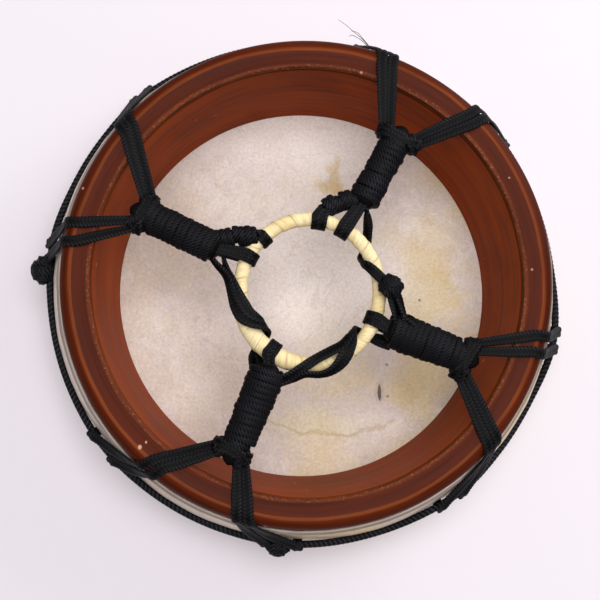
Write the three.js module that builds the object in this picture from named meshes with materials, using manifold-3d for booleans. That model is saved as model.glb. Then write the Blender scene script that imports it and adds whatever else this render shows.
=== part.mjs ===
// Small shaman drum, lying on its head with the laced back up.
// Millimetres, +Z up. The origin is the middle of the head's outer face, which rests on the ground.
import * as THREE from "three";
import { mergeVertices } from "three/addons/utils/BufferGeometryUtils.js";
import Module from "manifold-3d";

const wasm = await Module();
wasm.setup();

// Wooden hoop, turned from one ring: a flat top, a rounded outer shoulder and a belly
const hoopHeight = 60;
const rimRadius = 110;
const bellyOut = 5.4;
const bellyHeight = 28;
const footIn = 0.5;
const footFillet = 3;
const shoulderWide = 5.5;
const shoulderTall = 4.5;
const rimWall = 14;
const footWall = 19.4;
const edgeBreak = 1;
const grooveDrop = 2.4;
const grooveWide = 0.9;
const grooveDeep = 0.7;
const roundSteps = 38;

// Rawhide head, drawn up the outside of the hoop
const skinThick = 1.2;
const skinRise = 47;
const lipFlare = 0.5;

// Clearance between pieces that touch, and how far a joined mesh may stray from its exact shape
const touchGap = 0.3;
const meshTolerance = 0.1;

// Girth rope round the skin: it lies tilted, and each leg of the lacing draws it to a level of its own
const ropeRadius = 1.5;
const ropeRest = 29;
const ropeTilt = 5;
const ropeTiltAngle = 235;
const ropePull = 1.7;
const longSpan = 38;
const ropeSteps = 60;
const ropeSides = 6;

// Flat lacing cord
const laceWide = 4.9;
const laceThick = 1.2;
const hookGap = 0.6;
const hookWide = 9;
const forkSqueeze = 0.65;
const bandLift = 0.7;
const shoulderShare = 0.34;
const spreadApart = 1.3;

// Grip ring bound with a flat strip, a little oval, thicker where the strip's ends overlap
const ringCentre = new THREE.Vector2(0.4, -5.8);
const ringHalfX = 30.9;
const ringHalfY = 32.3;
const ringTube = 3.2;
const ringSwell = 1;
const swellAngle = 225;
const swellSpan = 55;
const ringSink = 0.6;
const ringSteps = 36;
const ringSides = 8;

// Gathered strands and the whipping wound over them
const coreRadius = 3.9;
const turnPitch = 4.4;
const turnDepth = 0.8;
const forkRadius = 5.4;
const forkLength = 4;
const heelRadius = 4.4;
const whippingSides = 10;

// Collar of turns round the root of each leg
const collarLength = 3.3;
const collarRadius = 4.6;

// Each spoke: the ends of its whipping, the thickness wound on its core, how far its heel stands out,
// its two legs and the places where it hooks on the ring. A leg has a root beside the fork, a place on
// the rim, a place on the rope and the level of the rope there
const spokes = [
  {
    name: "northwest",
    outer: [-71, 27.1],
    inner: [-41.8, 13.2],
    wound: 3.1,
    heelLength: 4,
    legs: [
      { root: [-70.5, 33.5], rimAngle: 140.3, rimPitch: 5, ropeAngle: 130, ropeLevel: 27 },
      { root: [-76.5, 23.8], rimAngle: 168.9, rimPitch: 8.6, ropeAngle: 170.5, ropeLevel: 33 },
    ],
    hooks: [{ angle: 133.5, rise: 4, neck: 3.1 }, { angle: 152, rise: 0, neck: 2.3 }],
  },
  {
    name: "northeast",
    outer: [38.3, 60.9],
    inner: [24.1, 34.6],
    wound: 3.1,
    heelLength: 4.6,
    legs: [
      { root: [35, 67], rimAngle: 70.1, rimPitch: 5, ropeAngle: 76, ropeLevel: 24 },
      { root: [46.5, 61], rimAngle: 44.6, rimPitch: 5, ropeAngle: 38, ropeLevel: 24 },
    ],
    hooks: [{ angle: 82, rise: 6, neck: 3.9 }, { angle: 60, rise: 0, neck: 2.8 }],
  },
  {
    name: "southeast",
    outer: [66.6, -33.7],
    inner: [38.1, -23.7],
    wound: 3.6,
    heelLength: 2.6,
    legs: [
      { root: [72.5, -30.5], rimAngle: -15.9, rimPitch: 7.6, ropeAngle: -12.5, ropeLevel: 34 },
      { root: [66.8, -41.2], rimAngle: -40.9, rimPitch: 5, ropeAngle: -55, ropeLevel: 38 },
    ],
    hooks: [{ angle: -22.8, rise: 0, neck: 2.4 }],
  },
  {
    name: "southwest",
    outer: [-30.9, -72.9],
    inner: [-19, -42.8],
    wound: 3.5,
    heelLength: 1.5,
    legs: [
      { root: [-38.5, -73.5], rimAngle: -128.9, rimPitch: 5.4, ropeAngle: -140.5, ropeLevel: 39 },
      { root: [-29.5, -79], rimAngle: -106, rimPitch: 5, ropeAngle: -91.5, ropeLevel: 38 },
    ],
    hooks: [{ angle: -124, rise: 0, neck: 1.8 }],
  },
];

// Knots in the girth rope, by angle round the drum: half length along the rope and half thickness
const ropeKnots = [
  { angle: 177, along: 6, thick: 4.4 },
  { angle: -97.6, along: 5, thick: 3.4 },
];

// Cords that run from spoke to spoke round the ring. Each station is beside the ring's middle line:
// angle round the ring, how far outside it and how far above it, and the share of the full width there
const pairWide = 3.9;
const pairThick = 1.4;
const crossCords = [
  {
    name: "cross_cord_west",
    strands: 2,
    wide: pairWide,
    thick: pairThick,
    stations: [
      [164.6, 9.5, -2, 0.8], [170.2, 6.7, 1.5, 0.8], [178, 3.9, 4.9, 0.9], [184.5, 2.3, 6.2],
      [192.2, 0.8, 6.6], [201.2, -0.7, 6.8], [208.2, -3.8, 6, 0.9], [216, -5.9, 3.8, 0.6],
      [222, -6.4, -0.5, 0.5], [225, -2.6, -6.2, 0.5], [227, 3.2, -6.6, 0.7], [230.5, 6.2, -6.2, 0.8],
    ],
  },
  {
    name: "cross_cord_south",
    strands: 2,
    wide: pairWide,
    thick: pairThick,
    stations: [
      [254, 7, 1, 0.7], [262.5, 3.8, 4.2, 0.8], [268.5, 2, 5.6, 0.9], [278.8, -0.2, 6.2], [293.8, -2.4, 6.4],
      [303, -4.1, 5.9, 0.9], [312, -5.7, 3.6, 0.6], [319, -6, -1, 0.5], [323, -3, -5.6, 0.6],
      [325.5, 3.5, -6, 0.8], [328.5, 8, -4.8, 0.8],
    ],
  },
  {
    name: "cross_cord_east",
    strands: 1,
    wide: 4.2,
    thick: 0.8,
    stations: [
      [51.3, 9, -1.2], [46, 6.6, -4], [42, 4.6, -5], [36.2, 0.6, -5.6], [32, -4, -3.8], [27.5, -5.2, 0],
      [21, -3.7, 4.4], [11.8, -0.5, 5.8], [5.2, 2.1, 6.6], [2, 4.4, 6.9], [353.2, 7.6, 6], [349.2, 8.8, 5],
    ],
    knot: { angle: 2.2, out: 4.3, up: 6.9, radius: 4.6 },
  },
];

const wood = { color: 0x7d3316, roughness: 0.42, metalness: 0 };
const rawhide = { color: 0xd9cbb8, roughness: 0.7, metalness: 0 };
const waxedCord = { color: 0x141417, roughness: 0.6, metalness: 0 };
const paleStrip = { color: 0xe9dcae, roughness: 0.65, metalness: 0 };

const wallTop = hoopHeight - shoulderTall;
const laceLevel = hoopHeight + touchGap + laceThick / 2;
const ringLevel = laceLevel - ringSink;
const footLevel = skinThick + touchGap + footFillet;
const footRadius = rimRadius - footIn;
const group = new THREE.Group();

function radians(degrees) {
  return THREE.MathUtils.degToRad(degrees);
}

function polar(radius, degrees, z) {
  return new THREE.Vector3(radius * Math.cos(radians(degrees)), radius * Math.sin(radians(degrees)), z);
}

// A circle's polygon lies inside it, so a bore's polygon is drawn this much larger
function boreRadius(clear, sides) {
  return clear / Math.cos(Math.PI / sides);
}

// The hoop's outer wall swells from the shoulder to its belly and draws in to the foot
function hoopOuter(z) {
  const belly = rimRadius + bellyOut;
  if (z > bellyHeight) {
    return rimRadius + bellyOut * THREE.MathUtils.smoothstep(wallTop - z, 0, wallTop - bellyHeight);
  }
  return belly - (belly - footRadius) * ((bellyHeight - z) / (bellyHeight - footLevel)) ** 2;
}

function addMesh(name, geometry, look) {
  const mesh = new THREE.Mesh(geometry, new THREE.MeshStandardMaterial(look));
  mesh.name = name;
  group.add(mesh);
  return mesh;
}

// Triangles that shrink to a line at a turned profile's pole are left out
function solidOf(geometry) {
  const bare = geometry.clone();
  bare.deleteAttribute("normal");
  bare.deleteAttribute("uv");
  const merged = mergeVertices(bare, 1e-4);
  const vertProperties = new Float32Array(merged.attributes.position.array);
  const corners = merged.index.array;
  const kept = [];
  for (let i = 0; i < corners.length; i += 3) {
    const [a, b, c] = corners.slice(i, i + 3);
    if (a !== b && b !== c && c !== a) kept.push(a, b, c);
  }
  const triVerts = new Uint32Array(kept);
  return new wasm.Manifold(new wasm.Mesh({ numProp: 3, vertProperties, triVerts }));
}

function geometryOf(solid) {
  const mesh = solid.simplify(meshTolerance).getMesh();
  const geometry = new THREE.BufferGeometry();
  geometry.setAttribute("position", new THREE.BufferAttribute(new Float32Array(mesh.vertProperties), 3));
  geometry.setIndex(new THREE.BufferAttribute(new Uint32Array(mesh.triVerts), 1));
  return geometry;
}

function fuse(geometries) {
  return geometryOf(geometries.map(solidOf).reduce((whole, next) => whole.add(next)));
}

// Profiles are lists of (radius, height), counterclockwise round the section
function arc(centreR, centreZ, halfR, halfZ, from, to, steps) {
  return Array.from({ length: steps + 1 }, (_, i) => {
    const turn = radians(from + ((to - from) * i) / steps);
    return new THREE.Vector2(centreR + halfR * Math.cos(turn), centreZ + halfZ * Math.sin(turn));
  });
}

function turned(profile, steps) {
  return new THREE.LatheGeometry(profile, steps).rotateX(Math.PI / 2);
}

// Heights at which the wall's curve is cut into straight pieces, up to a top
function wallHeights(top) {
  const rise = top - bellyHeight;
  return [bellyHeight / 2, bellyHeight, bellyHeight + rise * 0.4, bellyHeight + rise * 0.75];
}

function wallPoints(offset, heights) {
  return heights.map((z) => new THREE.Vector2(hoopOuter(z) + offset, z));
}

// A cord's middle line that keeps its own stations. Each has the direction that its flat face looks in,
// and may have a spread, the share of the section's full width there
class Route extends THREE.Curve {
  constructor(stations) {
    super();
    this.stations = stations;
  }

  getSpacedPoints() {
    return this.stations.map((s) => s.at);
  }

  computeFrenetFrames() {
    const points = this.getSpacedPoints();
    const last = points.length - 1;
    const frames = { tangents: [], normals: [], binormals: [] };
    this.stations.forEach((station, i) => {
      const ahead = points[Math.min(i + 1, last)];
      const behind = points[Math.max(i - 1, 0)];
      const tangent = ahead.clone().sub(behind).normalize();
      const side = station.face.clone().cross(tangent).normalize();
      frames.tangents.push(tangent);
      frames.normals.push(side.clone().multiplyScalar(station.spread ?? 1));
      frames.binormals.push(tangent.clone().cross(side));
    });
    return frames;
  }
}

function sweep(shape, stations) {
  const path = new Route(stations);
  return new THREE.ExtrudeGeometry(shape, { steps: stations.length - 1, extrudePath: path });
}

// Flat strands side by side: each has its own crown, with a groove to the next one
function bandShape(count, pitch, wide, thick) {
  const bevel = thick * 0.7;
  const groove = thick * 0.3;
  const half = ((count - 1) * pitch + wide) / 2;
  const points = [new THREE.Vector2(half, -thick)];
  for (let i = count - 1; i >= 0; i -= 1) {
    const middle = (i - (count - 1) / 2) * pitch;
    points.push(new THREE.Vector2(middle + wide / 2 - bevel, thick));
    points.push(new THREE.Vector2(middle - wide / 2 + bevel, thick));
    if (i > 0) points.push(new THREE.Vector2(middle - pitch / 2, groove));
  }
  points.push(new THREE.Vector2(-half, -thick));
  return new THREE.Shape(points);
}

function circlePoints(radius, sides) {
  return arc(0, 0, radius, radius, 0, 360 - 360 / sides, sides - 1);
}

// A closed band round another cord, following the same middle line
function sleeve(stations, bore, outside, sides) {
  const shape = new THREE.Shape(circlePoints(outside, sides));
  shape.holes.push(new THREE.Path(circlePoints(boreRadius(bore, sides), sides).reverse()));
  return sweep(shape, stations);
}

function makeHoop() {
  const foot = skinThick + touchGap;
  const innerFoot = rimRadius - footWall;
  const innerRim = rimRadius - rimWall;
  const slope = (innerRim - innerFoot) / (hoopHeight - foot);
  const innerWall = (z) => innerFoot + slope * (z - foot);
  const grooveTop = hoopHeight - grooveDrop;
  const grooveFoot = grooveTop - grooveWide;
  const profile = [
    new THREE.Vector2(innerFoot, foot),
    ...arc(footRadius - footFillet, footLevel, footFillet, footFillet, -90, 0, 2),
    ...wallPoints(0, wallHeights(wallTop)),
    ...arc(rimRadius - shoulderWide, wallTop, shoulderWide, shoulderTall, 0, 90, 3),
    new THREE.Vector2(innerRim + edgeBreak, hoopHeight),
    new THREE.Vector2(innerRim, hoopHeight - edgeBreak),
    new THREE.Vector2(innerWall(grooveTop), grooveTop),
    new THREE.Vector2(innerWall(grooveFoot) + grooveDeep, grooveTop - grooveWide / 2),
    new THREE.Vector2(innerWall(grooveFoot), grooveFoot),
    new THREE.Vector2(innerFoot, foot),
  ];
  addMesh("hoop", turned(profile, roundSteps), wood);
}

function makeHead() {
  const inside = footFillet + touchGap;
  const outside = inside + skinThick;
  const filletCentre = footRadius - footFillet;
  const heights = wallHeights(skinRise);
  const lip = hoopOuter(skinRise) + touchGap + lipFlare;
  const profile = [
    new THREE.Vector2(0, 0),
    ...arc(filletCentre, footLevel, outside, outside, -90, 0, 3),
    ...wallPoints(touchGap + skinThick, heights),
    new THREE.Vector2(lip + skinThick, skinRise),
    new THREE.Vector2(lip, skinRise),
    ...wallPoints(touchGap, heights).reverse(),
    ...arc(filletCentre, footLevel, inside, inside, 0, -90, 2),
    new THREE.Vector2(0, skinThick),
  ];
  addMesh("skin_head", turned(profile, roundSteps), rawhide);
}

function offSkin(z) {
  return hoopOuter(z) + touchGap * 2 + skinThick + ropeRadius;
}

// Legs in the order of their places on the rope
const pulls = spokes
  .flatMap((spoke) => spoke.legs)
  .map((leg) => ({ ...leg, angle: (leg.ropeAngle + 360) % 360 }))
  .sort((a, b) => a.angle - b.angle);

// The rope goes through the places where the legs hook on it and rests on the skin between them
function ropeLine() {
  const points = [];
  pulls.forEach(({ angle, ropeLevel }, i) => {
    const next = i + 1 < pulls.length ? pulls[i + 1].angle : pulls[0].angle + 360;
    const span = next - angle;
    points.push(polar(offSkin(ropeLevel) + ropePull, angle, ropeLevel));
    const rests = span > longSpan ? [0.34, 0.66] : [0.5];
    rests.forEach((share) => {
      const at = angle + share * span;
      const level = ropeRest + ropeTilt * Math.cos(radians(at - ropeTiltAngle));
      points.push(polar(offSkin(level), at, level));
    });
  });
  return new THREE.CatmullRomCurve3(points, true, "centripetal");
}

const rope = ropeLine();

// The share of the rope's length at an angle round the drum, found by halving
function ropeShareAt(degrees) {
  const start = pulls[0].angle;
  const fromStart = (angle) => (angle - start + 720) % 360;
  const angleAt = (share) => {
    const point = rope.getPointAt(share);
    return fromStart(THREE.MathUtils.radToDeg(Math.atan2(point.y, point.x)) + 1e-4);
  };
  let low = 0;
  let high = 1;
  for (let i = 0; i < 30; i += 1) {
    const middle = (low + high) / 2;
    if (angleAt(middle) < fromStart(degrees)) low = middle;
    else high = middle;
  }
  return (low + high) / 2;
}

// Stations along the rope from one side of a place to the other
function alongRope(degrees, halfLength, count) {
  const share = ropeShareAt(degrees);
  const step = halfLength / rope.getLength();
  return Array.from({ length: count }, (_, i) => {
    const at = rope.getPointAt((share + step * ((2 * i) / (count - 1) - 1) + 1) % 1);
    return { at, face: new THREE.Vector3(0, 0, 1) };
  });
}

function lump(at, along, halfLength, halfThick) {
  const ball = new THREE.SphereGeometry(1, 7, 5).scale(halfLength, halfThick, halfThick);
  const turn = new THREE.Quaternion().setFromUnitVectors(new THREE.Vector3(1, 0, 0), along);
  return ball.applyQuaternion(turn).translate(at.x, at.y, at.z);
}

function makeRope() {
  const parts = [new THREE.TubeGeometry(rope, ropeSteps, ropeRadius, ropeSides, true)];
  ropeKnots.forEach((knot) => {
    const share = ropeShareAt(knot.angle);
    const out = polar(knot.thick * 0.65, knot.angle, 0);
    const at = rope.getPointAt(share).add(out);
    const along = rope.getTangentAt(share);
    const across = along.clone().cross(out).normalize();
    const slant = along.clone().add(across).normalize();
    const counter = along.clone().sub(across).normalize();
    parts.push(lump(at, slant, knot.along, knot.thick));
    parts.push(lump(at, counter, knot.along, knot.thick * 0.9));
  });
  addMesh("girth_rope", fuse(parts), waxedCord);
}

function ringPoint(degrees) {
  const x = ringCentre.x + ringHalfX * Math.cos(radians(degrees));
  const y = ringCentre.y + ringHalfY * Math.sin(radians(degrees));
  return new THREE.Vector3(x, y, ringLevel);
}

function ringOut(degrees) {
  const a = radians(degrees);
  return new THREE.Vector3(Math.cos(a) / ringHalfX, Math.sin(a) / ringHalfY, 0).normalize();
}

// The binding's overlap thickens one side of the ring and fades out to both sides of it
function ringRadiusAt(degrees) {
  const away = Math.abs(((degrees - swellAngle + 540) % 360) - 180) / swellSpan;
  return away < 1 ? ringTube + ringSwell * Math.cos((away * Math.PI) / 2) : ringTube;
}

class RingLine extends THREE.Curve {
  getPoint(share, target = new THREE.Vector3()) {
    return target.copy(ringPoint(share * 360));
  }
}

function makeRing() {
  const geometry = new THREE.TubeGeometry(new RingLine(), ringSteps, 1, ringSides, true);
  const position = geometry.attributes.position;
  const vertex = new THREE.Vector3();
  for (let i = 0; i < position.count; i += 1) {
    vertex.fromBufferAttribute(position, i);
    const share = Math.atan2((vertex.y - ringCentre.y) / ringHalfY, (vertex.x - ringCentre.x) / ringHalfX);
    const degrees = THREE.MathUtils.radToDeg(share);
    const middle = ringPoint(degrees);
    vertex.sub(middle).multiplyScalar(ringRadiusAt(degrees)).add(middle);
    position.setXYZ(i, vertex.x, vertex.y, vertex.z);
  }
  geometry.deleteAttribute("normal");
  geometry.deleteAttribute("uv");
  addMesh("grip_ring", mergeVertices(geometry, 1e-4), paleStrip);
}

// A point beside the ring's middle line; the cord's flat face looks away from the ring
function besideRing([degrees, out, up, spread = 1]) {
  const away = ringOut(degrees).multiplyScalar(out).add(new THREE.Vector3(0, 0, up));
  const face = away.length() > 0 ? away.clone().normalize() : new THREE.Vector3(0, 0, 1);
  return { at: ringPoint(degrees).add(away), face, spread };
}

function makeCrossCord(cord) {
  const shape = bandShape(cord.strands, cord.wide, cord.wide, cord.thick);
  const parts = [sweep(shape, cord.stations.map(besideRing))];
  if (cord.knot) {
    const { angle, out, up, radius } = cord.knot;
    const { at } = besideRing([angle, out, up]);
    parts.push(lump(at, ringOut(angle), radius, radius * 0.9));
    parts.push(lump(at, ringOut(angle + 70), radius * 1.15, radius * 0.8));
  }
  addMesh(cord.name, fuse(parts), waxedCord);
}

// A leg's middle line: straight from its root to the rim, over its shoulder, then down past the skin's
// lip to the rope
function legStations(root, rootSide, rimAngle, ropeAngle, spreads) {
  const lift = touchGap + laceThick / 2 + spreads.lift;
  const shoulderCentre = rimRadius - shoulderWide;
  const up = new THREE.Vector3(0, 0, 1);
  const rimTop = polar(shoulderCentre, rimAngle, laceLevel + spreads.lift);
  const across = up.clone().cross(rimTop.clone().sub(root)).normalize();
  const stations = [
    { at: root.clone().addScaledVector(across, rootSide), face: up, spread: spreads.fork },
    { at: rimTop, face: up, spread: spreads.rim },
  ];
  [30, 60, 90].forEach((bend) => {
    const angle = rimAngle + ((ropeAngle - rimAngle) * shoulderShare * bend) / 90;
    const turn = radians(90 - bend);
    const radius = shoulderCentre + (shoulderWide + lift) * Math.cos(turn);
    const at = polar(radius, angle, wallTop + (shoulderTall + lift) * Math.sin(turn));
    stations.push({ at, face: polar(Math.cos(turn), angle, Math.sin(turn)), spread: spreads.rim });
  });
  const leave = stations[stations.length - 1].at;
  const ropeAt = rope.getPointAt(ropeShareAt(ropeAngle));
  const ropeOut = Math.hypot(ropeAt.x, ropeAt.y);
  const hook = ropeRadius + hookGap + laceThick / 2;
  const meets = Math.PI / 2 - Math.atan2(leave.z - ropeAt.z, ropeOut - Math.hypot(leave.x, leave.y));
  const meetRadius = ropeOut + hook * Math.cos(meets);
  const meetLevel = ropeAt.z + hook * Math.sin(meets);
  const drop = (leave.z - skinRise) / (leave.z - meetLevel);
  const lipAngle = rimAngle + (ropeAngle - rimAngle) * (shoulderShare + (1 - shoulderShare) * drop);
  const clearOfLip = hoopOuter(skinRise) + skinThick + lipFlare + touchGap + lift;
  const straight = THREE.MathUtils.lerp(Math.hypot(leave.x, leave.y), meetRadius, drop);
  stations.push({
    at: polar(Math.max(clearOfLip, straight), lipAngle, skinRise),
    face: polar(1, lipAngle, 0.5),
    spread: (spreads.rim + spreads.rope) / 2,
  });
  stations.push({
    at: polar(meetRadius, ropeAngle, meetLevel),
    face: polar(Math.cos(meets), ropeAngle, Math.sin(meets)),
    spread: spreads.rope,
  });
  return stations;
}

// The two strands of a leg lie side by side as one band, or spread apart on the rim
function legSolids(root, leg) {
  const wide = leg.rimPitch + laceWide;
  if (leg.rimPitch < laceWide * spreadApart) {
    const spreads = { fork: forkSqueeze, rim: 1, rope: hookWide / wide, lift: bandLift };
    const strandWide = Math.max(laceWide, leg.rimPitch);
    const shape = bandShape(2, leg.rimPitch, strandWide, laceThick / 2);
    return [sweep(shape, legStations(root, 0, leg.rimAngle, leg.ropeAngle, spreads))];
  }
  const shape = bandShape(1, laceWide, laceWide, laceThick / 2);
  const alone = { fork: forkSqueeze, rim: 1, rope: 1, lift: 0 };
  return [-0.5, 0.5].map((place) => {
    const degrees = THREE.MathUtils.radToDeg(1 / rimRadius);
    const rimAngle = leg.rimAngle + place * leg.rimPitch * degrees;
    const ropeAngle = leg.ropeAngle + place * laceWide * degrees;
    return sweep(shape, legStations(root, -place * laceWide * forkSqueeze, rimAngle, ropeAngle, alone));
  });
}

function ropeHook(leg) {
  const bore = ropeRadius + hookGap;
  return sleeve(alongRope(leg.ropeAngle, hookWide / 2 + touchGap, 3), bore, bore + laceThick, 6);
}

// The band round the ring and the neck that rises from it and ties it to the spoke's heel
function ringHook(heel, hook) {
  const bore = ringRadiusAt(hook.angle) + touchGap;
  const halfTurn = THREE.MathUtils.radToDeg(laceWide / 2 / ringHalfX);
  const stations = [-1, 0, 1].map((side) => besideRing([hook.angle + side * halfTurn, 0, 0]));
  const band = sleeve(stations, bore, bore + laceThick, 8);
  const from = besideRing([hook.angle, bore + laceThick, 0]).at;
  const rise = from.clone().addScaledVector(ringOut(hook.angle), hook.rise);
  const neck = new THREE.QuadraticBezierCurve3(from, rise, heel);
  const steps = hook.rise > 0 ? 4 : 1;
  const points = neck.getPoints(steps).map((at) => ({ at, face: new THREE.Vector3(0, 0, 1) }));
  return [band, sweep(new THREE.Shape(circlePoints(hook.neck, 6)), points)];
}

function spokeEnds(spoke) {
  const outer = new THREE.Vector3(...spoke.outer, laceLevel);
  const inner = new THREE.Vector3(...spoke.inner, laceLevel);
  const along = outer.clone().sub(inner).normalize();
  const fork = outer.clone().addScaledVector(along, forkLength + touchGap);
  const heel = inner.clone().addScaledVector(along, -spoke.heelLength - touchGap);
  return { outer, inner, along, fork, heel };
}

function makeLacing(spoke) {
  const { outer, along, fork, heel } = spokeEnds(spoke);
  const length = fork.distanceTo(heel);
  const profile = [
    ...arc(0, 0, heelRadius, spoke.heelLength, -90, 0, 2),
    new THREE.Vector2(coreRadius, spoke.heelLength * 0.9),
    new THREE.Vector2(coreRadius, length - forkLength * 0.9),
    ...arc(0, length, forkRadius, forkLength, 0, 90, 2),
  ];
  const turn = new THREE.Quaternion().setFromUnitVectors(new THREE.Vector3(0, 0, 1), along);
  const core = turned(profile, 8).applyQuaternion(turn).translate(heel.x, heel.y, heel.z);
  const parts = [core, ...spoke.hooks.flatMap((hook) => ringHook(heel, hook))];
  const collars = [];
  spoke.legs.forEach((leg) => {
    const root = new THREE.Vector3(...leg.root, laceLevel);
    const outwards = polar(rimRadius, leg.rimAngle, laceLevel).sub(root).normalize();
    collars.push(lump(root, outwards, collarLength, collarRadius));
    parts.push(ropeHook(leg), ...legSolids(root, leg));
  });
  const end = outer.clone().addScaledVector(along, touchGap).dot(along);
  const cut = solidOf(fuse(collars)).trimByPlane(along.toArray(), end);
  addMesh(`lacing_${spoke.name}`, fuse([...parts, geometryOf(cut)]), waxedCord);
}

// The whipping: close turns of cord round the gathered strands, as a sleeve with one ridge for each turn
function makeWhipping(spoke) {
  const { outer, inner, along } = spokeEnds(spoke);
  const length = outer.distanceTo(inner);
  const turns = Math.round(length / turnPitch);
  const pitch = length / turns;
  const bore = boreRadius(coreRadius + touchGap, whippingSides);
  const crown = coreRadius + touchGap + spoke.wound;
  const profile = [new THREE.Vector2(bore, 0)];
  for (let i = 0; i < turns; i += 1) {
    profile.push(new THREE.Vector2(crown - turnDepth, i * pitch));
    profile.push(new THREE.Vector2(crown, (i + 0.5) * pitch));
  }
  profile.push(new THREE.Vector2(crown - turnDepth, length));
  profile.push(new THREE.Vector2(bore, length));
  profile.push(new THREE.Vector2(bore, 0));
  const mesh = addMesh(`whipping_${spoke.name}`, turned(profile, whippingSides), waxedCord);
  mesh.position.copy(inner);
  mesh.quaternion.setFromUnitVectors(new THREE.Vector3(0, 0, 1), along);
}

makeHoop();
makeHead();
makeRope();
makeRing();
spokes.forEach(makeLacing);
spokes.forEach(makeWhipping);
crossCords.forEach(makeCrossCord);

export default group;
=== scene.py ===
# %% [markdown]
# # A small shaman drum
# The drum lies on its rawhide head, so its laced back faces up. A turned wooden hoop carries the
# skin, a black girth cord holds the skin, and black lacing runs from that cord over the rim to a
# pale ring in the middle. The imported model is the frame: each piece here is built round its solids.

import math

import bpy
import numpy as np
from mathutils import Matrix, Vector, noise


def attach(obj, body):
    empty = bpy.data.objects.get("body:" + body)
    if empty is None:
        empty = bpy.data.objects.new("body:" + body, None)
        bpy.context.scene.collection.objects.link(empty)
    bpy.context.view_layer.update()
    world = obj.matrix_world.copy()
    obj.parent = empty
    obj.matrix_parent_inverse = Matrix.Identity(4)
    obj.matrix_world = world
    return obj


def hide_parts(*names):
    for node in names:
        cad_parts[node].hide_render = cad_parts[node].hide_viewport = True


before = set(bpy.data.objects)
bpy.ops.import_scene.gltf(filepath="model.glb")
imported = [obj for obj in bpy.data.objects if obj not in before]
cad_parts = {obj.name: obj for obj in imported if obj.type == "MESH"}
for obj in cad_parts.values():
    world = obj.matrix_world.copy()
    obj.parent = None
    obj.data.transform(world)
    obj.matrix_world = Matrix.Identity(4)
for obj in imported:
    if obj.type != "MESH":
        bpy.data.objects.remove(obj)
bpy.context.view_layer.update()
MM = 0.001

# %% [markdown]
# ## Camera
# The photograph was taken from almost straight above, a little to the lower left of the drum. The
# circles of the rim, the girth cord and the head sit at three heights, and the way that they shift
# against each other in the picture gives this place and lens.

# %% Camera
camera_at = Vector((-23.56, -54.46, 504.01)) * MM
looks_at = Vector((-2.6, -6.53, 30.0)) * MM
away = (looks_at - camera_at).normalized()
right = away.cross(Vector((0, 1, 0))).normalized()
upward = right.cross(away)
bpy.ops.object.camera_add()
camera = bpy.context.active_object
camera.name = "camera"
camera.matrix_world = Matrix.Translation(camera_at) @ Matrix((right, upward, -away)).transposed().to_4x4()
camera.data.lens = 60.72
camera.data.sensor_width = 36
camera.data.clip_start = 0.02
bpy.context.scene.camera = camera
print("camera", round((looks_at - camera_at).length, 3), "m from the drum")

# %% [markdown]
# ## Helpers for materials
# A material is a tree of nodes. One helper adds a node, sets its options and wires its inputs, so a
# recipe reads from top to bottom. The others are short forms of the nodes that come most often.

# %% Node helpers
def plug(tree, value, socket):
    """Wire an output into a socket, or set the socket to a plain value"""
    if isinstance(value, bpy.types.NodeSocket):
        tree.links.new(value, socket)
    elif isinstance(value, tuple) and len(value) < len(socket.default_value):
        socket.default_value = (*value, 1)
    else:
        socket.default_value = value


def add(tree, kind, inputs=None, **options):
    made = tree.nodes.new("ShaderNode" + kind)
    for name, value in options.items():
        setattr(made, name, value)
    for name, value in (inputs or {}).items():
        plug(tree, value, made.inputs[name])
    return made


def math_node(tree, operation, *values):
    return add(tree, "Math", dict(enumerate(values)), operation=operation).outputs[0]


def times(tree, a, b):
    return math_node(tree, "MULTIPLY", a, b)


def vector_node(tree, operation, *values):
    made = add(tree, "VectorMath", dict(enumerate(values)), operation=operation)
    return made.outputs["Value" if operation == "LENGTH" else "Vector"]


def from_axis(tree, xyz):
    """How far a point is from the drum's axis"""
    return vector_node(tree, "LENGTH", add(tree, "CombineXYZ", {0: xyz[0], 1: xyz[1]}).outputs[0])


def remap(tree, value, low, high, to=(0.0, 1.0), kind="LINEAR"):
    inputs = {"Value": value, "From Min": low, "From Max": high, "To Min": to[0], "To Max": to[1]}
    return add(tree, "MapRange", inputs, interpolation_type=kind).outputs["Result"]


def noise_at(tree, place, scale, detail=2.0, rough=0.5, distortion=0.0):
    inputs = {"Vector": place, "Scale": scale, "Detail": detail, "Roughness": rough}
    return add(tree, "TexNoise", {**inputs, "Distortion": distortion}).outputs["Fac"]


def ramp(tree, factor, stops, interpolation="LINEAR"):
    """A row of colours to read off at a factor. A plain number stands for a grey."""
    made = add(tree, "ValToRGB", {"Fac": factor})
    made.color_ramp.interpolation = interpolation
    while len(made.color_ramp.elements) < len(stops):
        made.color_ramp.elements.new(1)
    for element, (place, colour) in zip(made.color_ramp.elements, stops):
        element.position = place
        element.color = (*(colour if isinstance(colour, tuple) else (colour,) * 3), 1)
    return made.outputs["Color"]


def mix(tree, factor, a, b, blend="MIX"):
    inputs = {0: factor, 6: a, 7: b}
    return add(tree, "Mix", inputs, data_type="RGBA", blend_type=blend, clamp_factor=True).outputs[2]


def srgb(red, green, blue):
    """The linear colour of what a screen shows as these three numbers from 0 to 255"""
    shown = [c / 255 for c in (red, green, blue)]
    return tuple(c / 12.92 if c <= 0.04045 else ((c + 0.055) / 1.055) ** 2.4 for c in shown)


def use_group(tree, group, **inputs):
    made = tree.nodes.new("ShaderNodeGroup")
    made.node_tree = group
    for name, value in inputs.items():
        plug(tree, value, made.inputs[name])
    return made.outputs["Mask"]


def tint(tree, colour, mask, share, shade):
    """A colour with some of another one over it, where a mask is 1"""
    return mix(tree, times(tree, mask, share), colour, srgb(*shade))


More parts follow.
